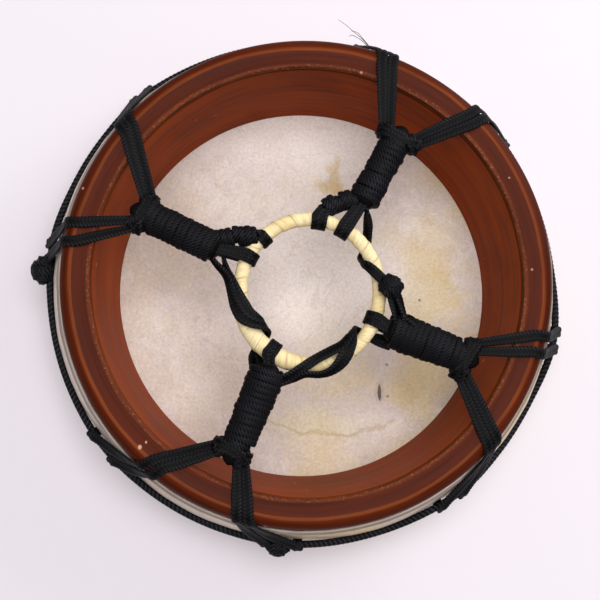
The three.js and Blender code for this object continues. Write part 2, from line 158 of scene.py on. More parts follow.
def spot(tree, place, centre, size, soft=0.3, wobble=0.0):
    """A mask that is 1 inside an ellipsoid, given in millimetres, and fades over a share of its size"""
    if wobble:
        bend = add(tree, "TexNoise", {"Vector": place, "Scale": 110.0, "Detail": 4.0}).outputs["Color"]
        bend = vector_node(tree, "SUBTRACT", bend, (0.5, 0.5, 0.5))
        place = vector_node(tree, "ADD", place, vector_node(tree, "MULTIPLY", bend, (wobble * MM,) * 3))
    from_centre = vector_node(tree, "SUBTRACT", place, tuple(c * MM for c in centre))
    scaled = vector_node(tree, "MULTIPLY", from_centre, tuple(1 / (c * MM) for c in size))
    return remap(tree, vector_node(tree, "LENGTH", scaled), 1 - soft, 1 + soft, (1.0, 0.0), "SMOOTHSTEP")


def new_material(name):
    """A material, its tree, its shader and the place on the drum that is being coloured"""
    material = bpy.data.materials.new(name)
    material.use_nodes = True
    tree = material.node_tree
    return material, tree, tree.nodes["Principled BSDF"], add(tree, "TexCoord").outputs["Object"]


def dress(tree, shader, colour, rough, height, strength, distance, sheen=0.5):
    """Wire a finish to its shader: its colour, its roughness, its fine relief and its sheen"""
    plug(tree, colour, shader.inputs["Base Color"])
    plug(tree, rough, shader.inputs["Roughness"])
    bump = add(tree, "Bump", {"Strength": strength, "Distance": distance, "Height": height})
    plug(tree, bump.outputs[0], shader.inputs["Normal"])
    plug(tree, sheen, shader.inputs["Specular IOR Level"])


print("node helpers ready")

# %% [markdown]
# ## Floor and light
# The drum was photographed on white card in soft daylight. The floor is one pale sheet, which is
# stage and no part of the drum. A large soft lamp stands to the upper right of the picture, because
# the shoulder of the rim is lit on that side, and the pale sky fills the shadows.

# %% Floor and light
bpy.ops.mesh.primitive_plane_add(size=6, location=(0, 0, 0))
floor = bpy.context.active_object
floor.name = "floor"
floor_material, _, shader, _ = new_material("white card")
shader.inputs["Base Color"].default_value = (*srgb(222, 216, 222), 1)
shader.inputs["Roughness"].default_value = 0.8
floor.data.materials.append(floor_material)

world = bpy.data.worlds.new("soft room")
bpy.context.scene.world = world
world.use_nodes = True
sky = world.node_tree.nodes["Background"]
sky.inputs["Color"].default_value = (1.0, 0.985, 1.0, 1)
sky.inputs["Strength"].default_value = 0.45
DRUM_MIDDLE = Vector((0, 0, 30)) * MM


def soft_lamp(name, place, size, power):
    bpy.ops.object.light_add(type="AREA", location=place)
    lamp = bpy.context.active_object
    lamp.name = name
    lamp.data.shape = "DISK"
    lamp.data.size = size
    lamp.data.energy = power
    lamp.rotation_euler = (DRUM_MIDDLE - Vector(place)).to_track_quat("-Z", "Y").to_euler()


soft_lamp("window", (1.05, 0.8, 0.65), 0.9, 9)
soft_lamp("ceiling", (0.1, 0.15, 1.7), 1.3, 23)
bpy.context.scene.view_settings.view_transform = "Standard"
print("floor and lamps ready")

# %% [markdown]
# ## Shared effects
# Two effects serve several finishes: blotches as in hide and stained wood, and small scattered
# specks. Each is a node group with its own sizes as inputs and a mask as its output.

# %% Node groups
def new_group(name, *inputs):
    """A node group with a vector and some numbers as inputs, and a mask as its output"""
    tree = bpy.data.node_groups.new(name, "ShaderNodeTree")
    tree.interface.new_socket("Vector", in_out="INPUT", socket_type="NodeSocketVector")
    for label in inputs:
        tree.interface.new_socket(label, in_out="INPUT", socket_type="NodeSocketFloat")
    tree.interface.new_socket("Mask", in_out="OUTPUT", socket_type="NodeSocketFloat")
    return tree, tree.nodes.new("NodeGroupInput").outputs, tree.nodes.new("NodeGroupOutput").inputs


def blotch_group():
    """Soft patches, each a few sizes wide, with finer patches inside them"""
    tree, given, out = new_group("blotches", "Scale", "From", "To")
    patches = noise_at(tree, given["Vector"], given["Scale"], 5.0, 0.55, 0.4)
    plug(tree, remap(tree, patches, given["From"], given["To"], kind="SMOOTHSTEP"), out["Mask"])
    return tree


def speck_group():
    """Scattered dots: few cells of a Voronoi pattern get one"""
    tree, given, out = new_group("specks", "Scale", "Size", "Share")
    cells = add(tree, "TexVoronoi", {"Vector": given["Vector"], "Scale": given["Scale"]})
    near = math_node(tree, "LESS_THAN", cells.outputs["Distance"], given["Size"])
    chosen = add(tree, "SeparateColor", {"Color": cells.outputs["Color"]}).outputs["Red"]
    few = math_node(tree, "LESS_THAN", chosen, given["Share"])
    plug(tree, times(tree, near, few), out["Mask"])
    return tree


blotches = blotch_group()
specks = speck_group()


def blotch(tree, place, scale, low, high):
    return use_group(tree, blotches, Vector=place, Scale=scale, From=low, To=high)


print("node groups:", blotches.name, specks.name)

# %% [markdown]
# ## Helpers for turned pieces
# The hoop and the head are round, as from a lathe. One function draws a section by extruding one
# corner after another from a single vertex, and sweeps it round the middle with the spin operator.

# %% Turning a section
def turned(name, points):
    """Draw a closed outline of (radius, height) in millimetres and sweep it round the axis"""
    start = Vector((points[0][0], 0, points[0][1])) * MM
    bpy.ops.mesh.primitive_plane_add(size=MM, location=start)
    piece = bpy.context.active_object
    piece.name = name
    bpy.ops.object.mode_set(mode="EDIT")
    bpy.ops.mesh.merge(type="CENTER")
    for (r0, z0), (r1, z1) in zip(points, points[1:]):
        step = ((r1 - r0) * MM, 0, (z1 - z0) * MM)
        bpy.ops.mesh.extrude_region_move(TRANSFORM_OT_translate={"value": step})
    bpy.ops.object.mode_set(mode="OBJECT")
    bpy.ops.object.transform_apply(location=True, rotation=True, scale=True)
    bpy.ops.object.mode_set(mode="EDIT")
    bpy.ops.mesh.select_all(action="SELECT")
    bpy.ops.mesh.spin(steps=288, angle=2 * math.pi, center=(0, 0, 0), axis=(0, 0, 1))
    bpy.ops.mesh.select_all(action="SELECT")
    bpy.ops.mesh.remove_doubles(threshold=0.02 * MM)
    bpy.ops.mesh.normals_make_consistent(inside=False)
    bpy.ops.object.mode_set(mode="OBJECT")
    bpy.ops.object.shade_smooth_by_angle(angle=math.radians(40))
    return piece


def arc(centre_r, centre_z, half_r, half_z, start, end, steps):
    turns = [math.radians(start + (end - start) * i / steps) for i in range(steps + 1)]
    return [(centre_r + half_r * math.cos(t), centre_z + half_z * math.sin(t)) for t in turns]


def coordinates(piece):
    flat = np.zeros(len(piece.data.vertices) * 3)
    piece.data.vertices.foreach_get("co", flat)
    return flat.reshape(-1, 3)


def move_points(piece, points):
    piece.data.vertices.foreach_set("co", points.astype(np.float32).ravel())
    piece.data.update()


def carry(mesh, name, values):
    """A UV map that holds one number of each point"""
    corners = np.zeros(len(mesh.loops), int)
    mesh.loops.foreach_get("vertex_index", corners)
    flat = np.stack([values[corners], np.zeros(len(corners))], 1)
    mesh.uv_layers.new(name=name).data.foreach_set("uv", flat.astype(np.float32).ravel())


def carried(tree, name):
    """The number that such a UV map holds, for a material"""
    return add(tree, "SeparateXYZ", {0: add(tree, "UVMap", uv_map=name).outputs[0]}).outputs[0]


def put_on(piece, material, node):
    """The last steps for every piece: its finish, its body and the node that it stands for"""
    piece.data.materials.clear()
    piece.data.materials.append(material)
    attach(piece, "root")
    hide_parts(node)
    print(piece.name, len(piece.data.polygons), "faces")


# %% [markdown]
# ## Hoop
# The hoop is turned from solid wood: a belly outside, a rounded shoulder, a flat top with a broken
# inner edge, a fine groove below it and a wall that widens towards the rim.

# %% Hoop
RIM = 110.0
BELLY = 115.4
BELLY_HEIGHT = 28.0
FOOT_RADIUS = 109.5
FOOT_LEVEL = 4.5
FOOT_ROUND = 3.0
WALL_TOP = 55.5
SHOULDER = 104.5
SHOULDER_WIDE = 5.5
SHOULDER_HIGH = 4.5
WALL_FOOT = 90.6
WALL_START = 1.5
WALL_WIDER = 5.4


def hoop_outer(z):
    if z > BELLY_HEIGHT:
        share = max(0.0, (WALL_TOP - z) / (WALL_TOP - BELLY_HEIGHT))
        return RIM + (BELLY - RIM) * share * share * (3 - 2 * share)
    return BELLY - (BELLY - FOOT_RADIUS) * ((BELLY_HEIGHT - z) / (BELLY_HEIGHT - FOOT_LEVEL)) ** 2


def inner_wall(z):
    return WALL_FOOT + WALL_WIDER * (z - WALL_START) / (60 - WALL_START)


outline = (
    arc(FOOT_RADIUS - FOOT_ROUND, FOOT_LEVEL, FOOT_ROUND, FOOT_ROUND, -90, 0, 6)
    + [(hoop_outer(z), z) for z in np.arange(7, 55, 3)]
    + arc(SHOULDER, WALL_TOP, SHOULDER_WIDE, SHOULDER_HIGH, 0, 90, 14)
    + [(103.2, 59.93), (102.2, 59.82), (101, 59.78), (99.5, 59.8), (98.2, 59.86), (97.4, 59.9)]
    + arc(97.2, 58.9, 1.1, 1.0, 90, 180, 5)
    + [(96.02, 57.9), (96.25, 57.5), (96.45, 57.15), (96.25, 56.8), (95.7, 56.4), (inner_wall(55.6), 55.6)]
    + [(inner_wall(z), z) for z in np.arange(53, 1.6, -3)]
    + [(WALL_FOOT, WALL_START)]
)
hoop = turned("hoop_turned", outline + [outline[0]])
points = coordinates(hoop)
radius = np.hypot(points[:, 0], points[:, 1])
chatter = np.array([noise.noise(Vector((p[0] * 16, p[1] * 16, p[2] * 40))) for p in points])
points[:, :2] *= (1 + 0.25 * MM * chatter / radius)[:, None]
move_points(hoop, points)
print("hoop", len(hoop.data.vertices), "points")

# %% [markdown]
# The stain has gathered where the tool left flats and has worn off the edges, so on top the colour
# follows the distance to the axis, and the wall inside has a colour of its own. That colour across the
# top also holds painted light: the pale band on the shoulder is a lighter stain with a painted highlight
# over it, the outer slope of the shoulder is darkened all round as painted shade, and the light line at
# the inner edge is worn wood with a painted highlight. The grain runs round the hoop. Noise in four
# dimensions takes the sine and cosine of the angle, so the grain closes without a seam.

# %% Wood
def make_wood():
    material, tree, shader, place = new_material("stained wood")
    xyz = add(tree, "SeparateXYZ", {0: place}).outputs
    radius = from_axis(tree, xyz)
    cosine = math_node(tree, "DIVIDE", xyz[0], radius)
    sine = math_node(tree, "DIVIDE", xyz[1], radius)
    around = add(tree, "CombineXYZ", {0: cosine, 1: sine, 2: times(tree, radius, 260.0)}).outputs[0]
    height = times(tree, xyz[2], 190.0)

    def grain_at(scale, detail, rough):
        inputs = {"Vector": around, "W": height, "Scale": scale, "Detail": detail, "Roughness": rough}
        return add(tree, "TexNoise", inputs, noise_dimensions="4D").outputs["Fac"]

    grain = grain_at(2.4, 6.0, 0.62)
    wide_grain = grain_at(0.7, 3.0, 0.5)
    wobble = noise_at(tree, place, 22.0, 3.0)
    shift = times(tree, math_node(tree, "SUBTRACT", wobble, 0.5), 0.0022)
    across = remap(tree, math_node(tree, "ADD", radius, shift), 0.095, 0.112)
    # Colour across the top, from the inner edge out: a lighter inner edge with a painted highlight, the dark
    # stained flat, a pale stain band with a painted highlight on the shoulder, and painted shade on its
    # outer slope.
    top = ramp(tree, across, [
        (0.00, srgb(96, 36, 8)), (0.05, srgb(60, 18, 4)), (0.085, srgb(97, 44, 22)),
        (0.15, srgb(92, 40, 19)), (0.21, srgb(76, 27, 8)), (0.45, srgb(74, 24, 6)),
        (0.53, srgb(78, 27, 7)), (0.565, srgb(112, 52, 21)), (0.61, srgb(110, 50, 19)),
        (0.66, srgb(80, 28, 7)), (0.76, srgb(70, 22, 4)), (1.00, srgb(66, 20, 3)),
    ], "EASE")
    wall = mix(tree, wide_grain, srgb(122, 42, 2), srgb(156, 66, 6))
    on_top = remap(tree, xyz[2], 0.0574, 0.0582)
    off_wall = math_node(tree, "MAXIMUM", on_top, math_node(tree, "GREATER_THAN", radius, 0.1))
    colour = mix(tree, off_wall, wall, top)
    streak = ramp(tree, grain, [(0.30, 0.5), (0.5, 1.0), (0.7, 1.35)])
    colour = mix(tree, 0.9, colour, mix(tree, 1.0, colour, streak, "MULTIPLY"))
    # The inner edge: light dots of worn wood, and a painted highlight in the same band.
    worn_and_highlit_edge = ramp(tree, across, [(0.06, 0.0), (0.09, 1.0), (0.155, 1.0), (0.19, 0.0)])
    dots = remap(tree, noise_at(tree, place, 950.0, 3.0, 0.7), 0.54, 0.68)
    colour = tint(tree, colour, times(tree, times(tree, worn_and_highlit_edge, dots), on_top), 0.55, (176, 106, 62))
    # Painted shade: a dark line laid into the fine groove on the inner wall.
    off_groove = math_node(tree, "ABSOLUTE", math_node(tree, "SUBTRACT", xyz[2], 0.05715))
    groove = remap(tree, off_groove, 0.0003, 0.0010, (1.0, 0.0))
    inside = math_node(tree, "LESS_THAN", radius, 0.0975)
    colour = tint(tree, colour, times(tree, groove, inside), 0.75, (34, 9, 2))
    stain = blotch(tree, place, 34.0, 0.42, 0.75)
    colour = tint(tree, colour, stain, 0.3, (66, 20, 4))
    chips = use_group(tree, specks, Vector=place, Scale=210.0, Size=0.16, Share=0.035)
    colour = tint(tree, colour, chips, 0.5, (206, 160, 138))
    for x, y, size in ((-73.1, -73.7, 0.95), (-92.7, 6.8, 0.6), (-85.1, -27.5, 0.5), (-70.6, -71.6, 0.5)):
        chip = spot(tree, place, (x, y, 60), (size * 0.8, size, 3), 0.5, 1.2)
        colour = mix(tree, chip, colour, srgb(196, 150, 134))
    sheen = math_node(tree, "MAXIMUM", times(tree, off_wall, 0.06), 0.028)
    dress(tree, shader, colour, remap(tree, grain, 0.3, 0.7, (0.36, 0.52)), grain, 0.35, 0.0003, sheen)
    return material


put_on(hoop, make_wood(), "hoop")

# %% [markdown]
# ## Head
# The head is raw goat hide, wetted, stretched over the hoop's foot and drawn up its side. It dried
# hard, so it is a stiff shell and no cloth. It is spun like the hoop, then its points are moved a
# little: soft pleats in the wall, a torn uneven lip and a faint swell in the drumhead.

# %% Head
HIDE = 1.2
GAP = 0.3
LIP = 47.0
DRUMHEAD = 89.0


def hide_outer(z):
    """The hide's outer side: it stands off the hoop a little more beside the girth cord"""
    return hoop_outer(z) + GAP + HIDE + 0.8 * math.exp(-(((z - 30) / 9) ** 2))


head_outline = (
    [(r, 0.0) for r in np.linspace(0, 102, 40)]
    + arc(FOOT_RADIUS - FOOT_ROUND, FOOT_LEVEL, FOOT_ROUND + GAP + HIDE, FOOT_ROUND + GAP + HIDE, -90, 0, 6)
    + [(hide_outer(z), z) for z in np.arange(7, LIP - 1, 2)]
    + [(hoop_outer(LIP) + GAP + 0.5 + HIDE, LIP - 0.4), (hoop_outer(LIP) + GAP + HIDE, LIP),
       (hoop_outer(LIP) + 0.4, LIP), (hoop_outer(LIP) + 0.05, LIP - 0.4)]
    + [(hoop_outer(z) + GAP, z) for z in np.arange(LIP - 2, 7, -3)]
    + arc(FOOT_RADIUS - FOOT_ROUND, FOOT_LEVEL, FOOT_ROUND + GAP, FOOT_ROUND + GAP, 0, -90, 5)
    + [(r, HIDE) for r in np.linspace(102, 0, 40)]
)
head = turned("rawhide_head", head_outline)
points = coordinates(head) / MM
radius = np.hypot(points[:, 0], points[:, 1])
angle = np.arctan2(points[:, 1], points[:, 0])
depth = LIP - points[:, 2]
for i, (x, y, z) in enumerate(points):
    if radius[i] < DRUMHEAD:
        wave = noise.noise(Vector((x * 0.035, y * 0.035, 4.2))) * 0.16
        wave += noise.noise(Vector((x * 0.3, y * 0.3, 1))) * 0.03
        if z > 0.5:
            points[i, 2] += wave * (1 - (radius[i] / DRUMHEAD) ** 6)
    elif z > 6:
        ring = Vector((math.cos(angle[i]), math.sin(angle[i]), 0))
        pleat = noise.noise(ring * 14 + Vector((0, 0, z * 0.03)))
        lip = noise.noise(ring * 6) * 0.9 + noise.noise(ring * 31) * 0.4
        outwards = 0.35 * max(0, pleat) * min(1, (z - 6) / 12)
        points[i, 0] += outwards * ring.x
        points[i, 1] += outwards * ring.y
        points[i, 2] += lip * max(0, (z - 30) / (LIP - 30)) ** 2
move_points(head, points * MM)
carry(head.data, "below_lip", depth)


def make_rawhide():
    material, tree, shader, place = new_material("rawhide")
    xyz = add(tree, "SeparateXYZ", {0: place}).outputs
    large = blotch(tree, place, 13.0, 0.36, 0.66)
    small = blotch(tree, place, 75.0, 0.35, 0.7)
    fine = blotch(tree, place, 210.0, 0.42, 0.62)
    colour = mix(tree, large, srgb(230, 215, 207), srgb(208, 189, 178))
    colour = tint(tree, colour, small, 0.5, (214, 197, 178))
    colour = tint(tree, colour, fine, 0.3, (196, 184, 186))
    to_side = math_node(tree, "SUBTRACT", xyz[0], times(tree, xyz[1], 0.4))
    side = remap(tree, to_side, -0.03, 0.09, kind="SMOOTHSTEP")
    tan = blotch(tree, place, 26.0, 0.40, 0.60)
    tan = times(tree, tan, math_node(tree, "MULTIPLY_ADD", side, 0.75, 0.1))
    colour = mix(tree, tan, colour, srgb(216, 192, 142))
    for x, y, half_x, half_y, share, shade in (
        (4, 8, 46, 40, 0.7, (240, 228, 221)), (2, 78, 50, 20, 0.7, (242, 230, 224)),
        (14.5, 53.0, 7.5, 5.0, 0.75, (206, 176, 118)), (15.5, 60.0, 3.6, 9.5, 0.65, (206, 176, 118)),
        (2.0, -64.5, 24, 6.5, 0.5, (222, 206, 168)), (64, 22, 13, 17, 0.4, (212, 184, 124)),
        (58, -43, 15, 10, 0.35, (212, 190, 140)), (-58, -43, 24, 20, 0.45, (206, 188, 176)),
    ):
        mask = spot(tree, place, (x, y, 1), (half_x, half_y, 9), 0.55, 16)
        colour = tint(tree, colour, mask, share, shade)
    crack = math_node(tree, "SUBTRACT", spot(tree, place, (13, -60.5, 1), (33, 10.5, 9), 0.06, 9),
                      spot(tree, place, (13, -59.4, 1), (32.2, 10.0, 9), 0.06, 9))
    crack = times(tree, crack, math_node(tree, "LESS_THAN", xyz[1], -0.062))
    colour = tint(tree, colour, crack, 0.4, (170, 142, 88))
    veins = math_node(tree, "SUBTRACT", noise_at(tree, place, 34.0, 4.0, distortion=1.5), 0.5)
    veins = remap(tree, math_node(tree, "ABSOLUTE", veins), 0.0, 0.012, (1.0, 0.0))
    colour = tint(tree, colour, veins, 0.22, (166, 140, 112))
    pores = noise_at(tree, place, 700.0, 4.0, 0.65)
    pored = mix(tree, 1.0, colour, ramp(tree, pores, [(0.3, 0.76), (0.7, 1.16)]), "MULTIPLY")
    colour = mix(tree, 0.6, colour, pored)
    spots = use_group(tree, specks, Vector=place, Scale=120.0, Size=0.09, Share=0.07)
    colour = tint(tree, colour, spots, 0.7, (96, 78, 70))
    seed = spot(tree, place, (38.3, -49.6, 1), (0.9, 3.9, 9), 0.25, 2)
    colour = mix(tree, seed, colour, srgb(44, 32, 28))
    halo = spot(tree, place, (38.3, -49.6, 1), (2.2, 5.4, 9), 0.5, 3)
    colour = tint(tree, colour, halo, 0.3, (150, 128, 108))
    # At the lip the cut top of the hide is a light grey, and the darker band just below it on the outer wall
    # is painted shade under the lip.
    outer_part = remap(tree, from_axis(tree, xyz), 0.1118, 0.1124)
    edge = mix(tree, outer_part, srgb(196, 186, 178), srgb(112, 92, 78))
    near_lip = remap(tree, carried(tree, "below_lip"), 1.0, 2.4, (0.8, 0.0))
    on_wall = math_node(tree, "GREATER_THAN", xyz[2], 0.03)
    colour = mix(tree, times(tree, near_lip, on_wall), colour, edge)
    relief = math_node(tree, "ADD", times(tree, pores, 0.5), small)
    dress(tree, shader, colour, remap(tree, small, 0.0, 1.0, (0.52, 0.7)), relief, 0.4, 0.0004)
    return material


put_on(head, make_rawhide(), "skin_head")

# %% [markdown]
# ## Helpers for cord
# All lacing is one flat braided cord, waxed black. A cord here is a section swept along a line of
# points, each with the direction that its flat side faces. The braid is real relief: two columns of
# small slanted stitches stand out of the flat faces. The measures are in millimetres.

# %% Lines through points
def blend(a, b, start, end, t):
    return ((end - t) * a + (t - start) * b) / (end - start)


def smooth_line(controls, step, closed=False):
    """A smooth line through the controls: points a step apart, and where each lies among the controls"""
    p = np.array(controls, float)
    if closed:
        p = np.vstack([p[-1], p, p[0], p[1]])
    else:
        p = np.vstack([2 * p[0] - p[1], p, 2 * p[-1] - p[-2]])
    dense, share = [], []
    for i in range(1, len(p) - 2):
        four = p[i - 1 : i + 3]
        chords = np.linalg.norm(np.diff(four, axis=0), axis=1)
        at = np.concatenate([[0], np.cumsum(np.sqrt(np.maximum(chords, 1e-6)))])
        count = max(4, int(np.linalg.norm(four[2] - four[1]) / step * 3))
        t = np.linspace(at[1], at[2], count, endpoint=False)[:, None]
        a = [blend(four[k], four[k + 1], at[k], at[k + 1], t) for k in range(3)]
        b = [blend(a[k], a[k + 1], at[k], at[k + 2], t) for k in range(2)]
        dense.append(blend(b[0], b[1], at[1], at[2], t))
        share.append(i - 1 + np.linspace(0, 1, count, endpoint=False))
    dense.append(p[-2][None])
    share.append(np.array([float(len(p) - 3)]))
    dense, share = np.vstack(dense), np.concatenate(share)
    along = np.concatenate([[0], np.cumsum(np.linalg.norm(np.diff(dense, axis=0), axis=1))])
    even = np.linspace(0, along[-1], max(3, int(round(along[-1] / step)) + 1))
    line = np.stack([np.interp(even, along, dense[:, k]) for k in range(3)], 1)
    return line, np.interp(even, along, share)


def unit(v):
    v = np.asarray(v, float)
    return v / np.maximum(np.linalg.norm(v, axis=-1, keepdims=True), 1e-9)


def along_controls(values, share):
    """Vectors given at the controls, read off at each point of the line"""
    values = np.array(values, float)
    at = np.arange(len(values))
    return np.stack([np.interp(share, at, values[:, k]) for k in range(values.shape[1])], 1)


print("line helpers ready")

# %% A braided cord
SIDES = 16
STEP = 0.38


def cord_mesh(line, faces, wide, thick, stitch=1.75, relief=0.24, twist=False, closed=False, boxy=0.6):
    """Points, faces and UVs of a cord along a line. Wide and thick may change along it."""
    count = len(line)
    wide = np.broadcast_to(np.asarray(wide, float), count)
    thick = np.broadcast_to(np.asarray(thick, float), count)
    if closed:
        tangent = unit(np.roll(line, -1, 0) - np.roll(line, 1, 0))
    else:
        tangent = unit(np.gradient(line, axis=0))
    side = unit(np.cross(faces, tangent))
    up = np.cross(tangent, side)
    s = np.concatenate([[0], np.cumsum(np.linalg.norm(np.diff(line, axis=0), axis=1))])
    if not closed:
        end = np.clip(np.minimum(s, s[-1] - s) / (0.5 * thick), 0.02, 1)
        end = np.sqrt(1 - (1 - end) ** 2)
        wide, thick = wide * (0.35 + 0.65 * end), thick * np.maximum(end, 0.05)
    turn = np.arange(SIDES) * 2 * np.pi / SIDES
    cos, sin = np.cos(turn), np.sin(turn)
    flat = np.sign(cos) * np.abs(cos) ** 0.8
    high = np.sign(sin) * np.abs(sin) ** boxy
    slant = 0.9 * flat * np.sign(sin) if twist else np.abs(flat) + 0.5 * (flat > 0)
    middle = 0.0 if twist else np.exp(-((flat / 0.22) ** 2))
    ridge = np.abs(np.sin(np.pi * (s[:, None] / stitch + slant)))
    rise = relief * (ridge**0.7 - 0.6 - 1.1 * middle)
    x = 0.5 * wide[:, None] * flat * (1 + 0.05 * (ridge - 0.5))
    y = (0.5 * thick[:, None] + rise) * high
    points = line[:, None] + x[..., None] * side[:, None] + y[..., None] * up[:, None]
    rings = count if closed else count - 1
    i = np.arange(rings)[:, None]
    k = np.arange(SIDES)[None]
    k1 = (k + 1) % SIDES
    i1 = (i + 1) % count
    quads = np.stack([i * SIDES + k, i1 * SIDES + k, i1 * SIDES + k1, i * SIDES + k1], -1).reshape(-1, 4)
    uv = np.zeros((rings, SIDES, 4, 2))
    uv[..., 0] = (i[..., None] + np.array((0, 1, 1, 0))) * STEP
    uv[..., 1] = k[..., None] + np.array((0, 0, 1, 1))
    # The stitches' height goes to a UV map, where the cord's material paints highlights on the crests.
    height = np.broadcast_to(ridge * (1 - 0.8 * middle) if relief > 0.05 else 0.35, (count, SIDES))
    made = {"verts": points.reshape(-1, 3), "quads": quads, "uv": uv, "caps": [], "stitches": height.ravel()}
    if not closed:
        last = (count - 1) * SIDES
        made["caps"] = [list(range(SIDES))[::-1], [last + k for k in range(SIDES)]]
    return made


def strand(controls, faces, closed=False, **section):
    """A cord through controls. Its width may be a list, with one for each control."""
    line, share = smooth_line(controls, STEP, closed)
    if closed:
        line, share = line[:-1], share[:-1]
        faces = list(faces) + [faces[0]]
    if np.ndim(section["wide"]):
        section["wide"] = np.interp(share, np.arange(len(section["wide"])), section["wide"])
    return cord_mesh(line, unit(along_controls(faces, share)), closed=closed, **section)


def build_cord(name, parts, node):
    """One piece of all its cords, in place of one node of the frame"""
    verts, polygons, uvs, start = [], [], [], 0
    for part in parts:
        verts.append(part["verts"])
        polygons += (part["quads"] + start).tolist()
        uvs.append(part["uv"].reshape(-1, 2))
        for cap in part["caps"]:
            polygons.append([start + c for c in cap])
            uvs.append(np.zeros((SIDES, 2)))
        start += len(part["verts"])
    mesh = bpy.data.meshes.new(name)
    mesh.from_pydata((np.vstack(verts) * MM).tolist(), [], polygons)
    mesh.uv_layers.new(name="along_cord").data.foreach_set("uv", np.vstack(uvs).astype(np.float32).ravel())
    carry(mesh, "stitches", np.concatenate([part["stitches"] for part in parts]))
    mesh.update()
    piece = bpy.data.objects.new(name, mesh)
    bpy.context.scene.collection.objects.link(piece)
    bpy.ops.object.select_all(action="DESELECT")
    piece.select_set(True)
    bpy.context.view_layer.objects.active = piece
    bpy.ops.object.mode_set(mode="EDIT")
    bpy.ops.mesh.select_all(action="SELECT")
    bpy.ops.mesh.normals_make_consistent(inside=False)
    bpy.ops.object.mode_set(mode="OBJECT")
    bpy.ops.object.shade_smooth()
    put_on(piece, cord, node)


def coil(start, end, radii, turns, wide, thick, seed, uneven, lean=0.0, phase=0.0, stitch=1.6):
    """Close turns of cord round a straight axis. The radii of its middle line are spread along that."""
    start, end = np.array(start, float), np.array(end, float)
    axis = unit(end - start)
    length = np.linalg.norm(end - start)
    e1 = unit(np.cross(axis, (0, 0, 1.0)))
    e2 = np.cross(e1, axis)
    steps = int(turns * 2 * np.pi * np.mean(radii) / STEP)
    t = np.linspace(0, 1, steps)
    turn = 2 * np.pi * (turns * t + phase)
    rough = np.array([noise.noise(Vector((a * 0.55, seed * 7.3, 0.0))) for a in turn])
    slide = np.array([noise.noise(Vector((a * 0.4, seed * 3.1, 5.0))) for a in turn])
    radius = np.interp(t, np.linspace(0, 1, len(radii)), radii) + uneven * 1.6 * rough
    tuck = np.clip(np.minimum(t, 1 - t) * turns / 0.35, 0, 1)
    radius = radius - (1 - tuck) * thick
    place = t * length + uneven * 1.8 * slide + lean * np.cos(turn)
    radial = np.cos(turn)[:, None] * e1 + np.sin(turn)[:, None] * e2
    line = start + place[:, None] * axis + radius[:, None] * radial
    return cord_mesh(line, radial, wide, thick, stitch=stitch, relief=0.4, twist=True, boxy=0.75)


def blob(centre, axis, half_length, half_thick):
    """A smooth core under wraps: a ball stretched along an axis"""
    line_t = np.linspace(-1, 1, 15)
    axis = unit(axis)
    line = np.array(centre, float) + (line_t * half_length)[:, None] * axis
    width = 2 * half_thick * np.sqrt(np.maximum(1 - line_t**2, 0.01))
    faces = np.broadcast_to(unit(np.cross(np.cross(axis, (0, 0, 1.0)), axis)), line.shape)
    return cord_mesh(line, faces, width, width, relief=0.0)


print("cord helpers ready")

# %% [markdown]
# ## Waxed cord
# The wax leaves the black fibres with a soft sheen, and dust has dulled it. The noise follows the cord
# through its UV map, stretched along the fibres. A second map holds the height of the stitches, and
# their crests are painted paler and a touch blue: a painted highlight for the glints on the wax.

# %% Waxed cord
def make_cord():
    material, tree, shader, place = new_material("waxed black cord")
    along = add(tree, "UVMap", uv_map="along_cord").outputs[0]
    fibre_place = vector_node(tree, "MULTIPLY", along, (0.9, 2.6, 1.0))
    streaks = noise_at(tree, fibre_place, 1.0, 3.0, 0.6)
    fine = noise_at(tree, vector_node(tree, "MULTIPLY", fibre_place, (3.1, 3.1, 3.1)), 1.0, 3.0, 0.7)
    dust = blotch(tree, place, 60.0, 0.45, 0.8)
    colour = mix(tree, streaks, srgb(3, 3, 4), srgb(13, 13, 15))
    colour = tint(tree, colour, dust, 0.3, (24, 24, 28))
    # Painted highlight: the crests of the stitches are lit up in the colour, as glints of the wax.
    stops = [(0.0, 0.1), (0.5, 0.5), (0.8, 2.0), (1.0, (9.0, 9.4, 10.4))]
    crest_glint = ramp(tree, carried(tree, "stitches"), stops)
    colour = mix(tree, 1.0, colour, crest_glint, "MULTIPLY")
    dress(tree, shader, colour, remap(tree, fine, 0.0, 1.0, (0.34, 0.6)), fine, 0.5, 0.0002, 0.085)
    return material


cord = make_cord()

# %% [markdown]
# ## Girth cord
# The girth cord lies round the skin and is a little higher at the lower left. Where a leg of the
# lacing hooks on it, it stands off the skin. Its knots are at the left and at the bottom.

# %% Girth cord
ROPE_REST, ROPE_TILT, ROPE_PULL = 29.0, 5.0, 1.3
OFF_SKIN = 2 * GAP + HIDE + 1.5
ROPE_AT_LEGS = [(38, 24), (76, 24), (130, 27), (170.5, 33), (219.5, 39), (268.5, 38), (305, 38), (347.5, 34)]


def polar(radius, degrees, z):
    a = math.radians(degrees)
    return np.array((radius * math.cos(a), radius * math.sin(a), z))


def rope_controls():
    points = []
    for i, (angle, level) in enumerate(ROPE_AT_LEGS):
        span = (ROPE_AT_LEGS[(i + 1) % len(ROPE_AT_LEGS)][0] - angle) % 360
        points.append(polar(hoop_outer(level) + OFF_SKIN + ROPE_PULL, angle, level))
        for share in ((0.34, 0.66) if span > 38 else (0.5,)):
            a = angle + share * span
            z = ROPE_REST + ROPE_TILT * math.cos(math.radians(a - 235))
            points.append(polar(hoop_outer(z) + OFF_SKIN + 0.2, a, z))
    return points


rope_points = rope_controls()
rope_line, _ = smooth_line(rope_points, 0.5, closed=True)
rope_line = rope_line[:-1]
rope_angles = np.degrees(np.arctan2(rope_line[:, 1], rope_line[:, 0])) % 360


